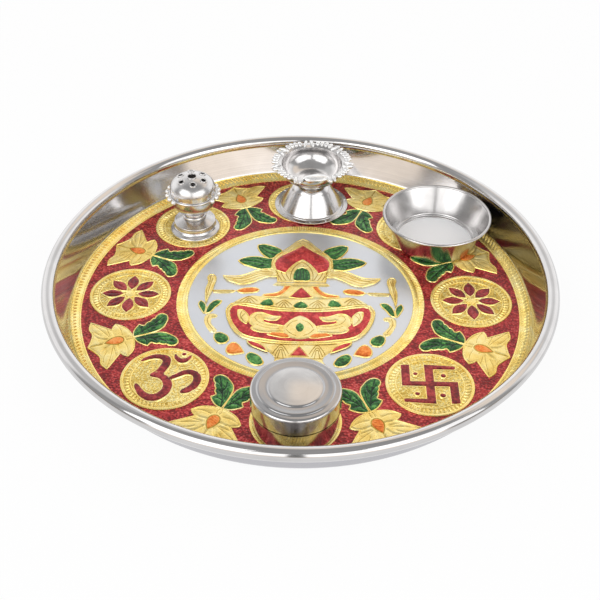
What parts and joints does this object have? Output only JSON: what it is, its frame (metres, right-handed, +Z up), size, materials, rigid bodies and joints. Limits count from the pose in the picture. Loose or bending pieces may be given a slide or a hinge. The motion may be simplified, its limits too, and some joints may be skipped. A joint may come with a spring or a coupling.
{
  "type": "puja thali",
  "caption": "Round rolled-rim steel tray with a gilt and enamelled floor, carrying a loose incense stand, oil lamp, offering bowl and lidded kumkum box for worship.",
  "frame": {"origin": "centre of the tray's underside, on the surface it stands on", "axes": "+Z up, out of the tray; +Y to the back, where the lamp stands; +X to the right as seen from the front"},
  "size_m": [0.254, 0.254, 0.036],
  "materials": {
    "polished_steel": "polished spun stainless steel",
    "bright_silver": "bright cast white metal",
    "gilding": "gilt, finely stippled",
    "red_enamel": "glossy stippled red enamel",
    "green_enamel": "glossy green enamel",
    "orange_enamel": "glossy orange enamel"
  },
  "bodies": {
    "plate": {"thali_plate": "polished_steel", "red_enamel_ground": "red_enamel", "outer_gold_border": "gilding", "inner_gold_border": "gilding", "gold_medallions": "gilding", "om_sign": "red_enamel", "swastik_sign": "red_enamel", "lotus_signs": "red_enamel", "flower_petals": "gilding", "flower_hearts": "orange_enamel", "flower_leaves": "green_enamel", "kalash_gilding": "gilding", "kalash_red_enamel": "red_enamel", "kalash_green_enamel": "green_enamel", "kalash_orange_enamel": "orange_enamel"},
    "incense_stand": {"incense_foot": "polished_steel", "incense_neck": "polished_steel", "incense_rivet": "polished_steel", "incense_cup": "polished_steel", "incense_collar": "polished_steel", "incense_dome": "polished_steel"},
    "lamp": {"lamp_foot": "polished_steel", "lamp_neck": "polished_steel", "lamp_rivet": "polished_steel", "lamp_dish": "bright_silver", "lamp_frill": "bright_silver"},
    "bowl": {"offering_bowl": "polished_steel"},
    "box": {"box_body": "polished_steel"},
    "lid": {"box_lid": "polished_steel"}
  },
  "joints": [
    {"name": "incense_stand_lift", "type": "slide", "parent": "plate", "child": "incense_stand", "axis": [0, 0, 1], "range_m": [0, 0.05]},
    {"name": "lamp_lift", "type": "slide", "parent": "plate", "child": "lamp", "axis": [0, 0, 1], "range_m": [0, 0.05]},
    {"name": "bowl_lift", "type": "slide", "parent": "plate", "child": "bowl", "axis": [0, 0, 1], "range_m": [0, 0.05]},
    {"name": "box_lift", "type": "slide", "parent": "plate", "child": "box", "axis": [0, 0, 1], "range_m": [0, 0.05]},
    {"name": "lid_lift", "type": "slide", "parent": "box", "child": "lid", "axis": [0, 0, 1], "range_m": [0, 0.03]}
  ]
}
